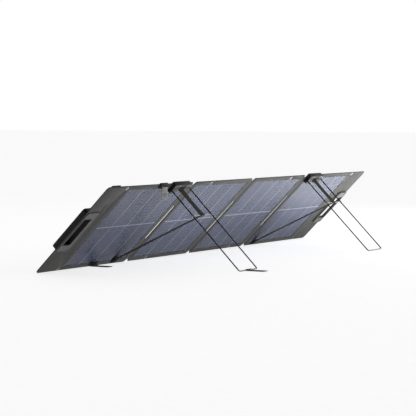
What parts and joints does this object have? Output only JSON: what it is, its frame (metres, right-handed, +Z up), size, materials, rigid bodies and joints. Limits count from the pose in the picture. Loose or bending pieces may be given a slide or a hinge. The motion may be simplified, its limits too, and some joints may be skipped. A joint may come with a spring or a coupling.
{
  "type": "folding solar panel",
  "caption": "Folding bifacial solar panel in a row of hinged leaves, leaning on wire legs with webbing stays, with carry handles at both ends.",
  "frame": {"origin": "on the ground under the centre of the bounding box", "axes": "+X along the panel, from the deep handle to the flat one; -Y from the panel's bottom edge towards the legs' feet; +Z up"},
  "size_m": [2.2604, 0.7148, 0.3405],
  "materials": {
    "border_fabric": "woven, dark grey",
    "seam_fabric": "woven, dark grey",
    "clear_film": "clear fluoropolymer film, slightly frosted",
    "solar_cell": "blue-black silicon",
    "tinned_ribbon": "tinned copper, satin",
    "nickel_eyelet": "nickel plated, bright",
    "grey_handle": "moulded, satin",
    "black_plastic": "moulded, matt",
    "steel_screw": "zinc plated",
    "circuit_board": "solder resist",
    "diode_black": "epoxy",
    "bracket_plastic": "moulded, matt",
    "grey_cover": "moulded, satin",
    "black_wire": "black powder coat, satin",
    "bare_wire": "dark steel, satin",
    "webbing": "woven webbing",
    "grey_tab": "moulded, satin"
  },
  "bodies": {
    "leaf_2": {"leaf_2_border": "border_fabric", "leaf_2_rear_film": "clear_film", "leaf_2_front_film": "clear_film", "leaf_2_cells": "solar_cell", "leaf_2_ribbons": "tinned_ribbon", "leaf_2_eyelets": "nickel_eyelet", "seam_1_fabric": "seam_fabric", "seam_2_fabric": "seam_fabric"},
    "leaf_1": {"leaf_1_border": "border_fabric", "leaf_1_rear_film": "clear_film", "leaf_1_front_film": "clear_film", "leaf_1_cells": "solar_cell", "leaf_1_ribbons": "tinned_ribbon", "leaf_1_eyelets": "nickel_eyelet", "left_handle_frame": "grey_handle", "left_handle_grip": "black_plastic", "left_handle_screws": "steel_screw", "margin_rivets": "black_plastic", "junction_box_tray": "black_plastic", "junction_box_cover": "black_plastic", "junction_box_gland": "black_plastic", "junction_box_circuit": "circuit_board", "junction_box_diodes": "diode_black", "top_tab_clip": "black_plastic", "bottom_tab_clip": "black_plastic", "leg_1_bracket": "bracket_plastic", "leg_1_bracket_covers": "grey_cover", "leg_1_strap_pin": "steel_screw", "leg_1_strap_lower": "webbing", "leg_1_strap_anchor": "black_plastic"},
    "leaf_3": {"leaf_3_border": "border_fabric", "leaf_3_rear_film": "clear_film", "leaf_3_front_film": "clear_film", "leaf_3_cells": "solar_cell", "leaf_3_ribbons": "tinned_ribbon", "leaf_3_eyelets": "nickel_eyelet", "seam_3_fabric": "seam_fabric"},
    "leaf_4": {"leaf_4_border": "border_fabric", "leaf_4_rear_film": "clear_film", "leaf_4_front_film": "clear_film", "leaf_4_cells": "solar_cell", "leaf_4_ribbons": "tinned_ribbon", "leaf_4_eyelets": "nickel_eyelet", "right_handle_frame": "black_plastic", "right_handle_plate": "black_plastic", "right_handle_screws": "steel_screw", "leg_2_bracket": "bracket_plastic", "leg_2_bracket_covers": "grey_cover", "leg_2_strap_pin": "steel_screw", "leg_2_strap_lower": "webbing", "leg_2_strap_anchor": "black_plastic"},
    "leg_1": {"leg_1_wire": "black_wire", "leg_1_crossbar": "bare_wire", "leg_1_strap_upper": "webbing"},
    "leg_2": {"leg_2_wire": "black_wire", "leg_2_crossbar": "bare_wire", "leg_2_strap_upper": "webbing"},
    "hanging_tab": {"hanging_tab": "grey_tab"},
    "bottom_tab": {"bottom_tab": "black_plastic"},
    "foot_tab": {"foot_tab": "black_plastic"}
  },
  "joints": [
    {"name": "seam_1_fold", "type": "hinge", "parent": "leaf_2", "child": "leaf_1", "pos_m": [-0.4995, 0.19334, 0.17077], "axis": [0, 0.7071, -0.7071], "range_deg": [0, 180], "deforming": ["seam_1_fabric"]},
    {"name": "seam_2_fold", "type": "hinge", "parent": "leaf_2", "child": "leaf_3", "pos_m": [0, 0.18521, 0.16264], "axis": [0, 0.7071, -0.7071], "range_deg": [0, 180], "deforming": ["seam_2_fabric"]},
    {"name": "seam_3_fold", "type": "hinge", "parent": "leaf_3", "child": "leaf_4", "pos_m": [0.4995, 0.19334, 0.17077], "axis": [0, -0.7071, 0.7071], "range_deg": [0, 180], "deforming": ["seam_3_fabric"]},
    {"name": "leg_1_fold", "type": "hinge", "parent": "leaf_1", "child": "leg_1", "pos_m": [-0.6085, 0.02965, 0.31254], "axis": [1, 0, 0], "range_deg": [0, 90], "deforming": ["leg_1_strap_lower"]},
    {"name": "leg_2_fold", "type": "hinge", "parent": "leaf_4", "child": "leg_2", "pos_m": [0.5795, 0.02965, 0.31254], "axis": [1, 0, 0], "range_deg": [0, 90], "deforming": ["leg_2_strap_lower"]},
    {"name": "hanging_tab_swing", "type": "hinge", "parent": "leaf_1", "child": "hanging_tab", "pos_m": [-0.7375, 0.02116, 0.31961], "axis": [1, 0, 0], "range_deg": [-120, 40]},
    {"name": "bottom_tab_swing", "type": "hinge", "parent": "leaf_1", "child": "bottom_tab", "pos_m": [-0.755, 0.3394, 0.0035], "axis": [1, 0, 0], "range_deg": [-40, 120]},
    {"name": "foot_tab_swing", "type": "hinge", "parent": "leg_1", "child": "foot_tab", "pos_m": [-0.6085, -0.28039, 0.0025], "axis": [1, 0, 0], "range_deg": [-120, 40]}
  ],
  "couplings": [
    {"joint": "seam_1_fold", "follows": "seam_2_fold", "ratio": 1},
    {"joint": "seam_3_fold", "follows": "seam_2_fold", "ratio": 1}
  ]
}
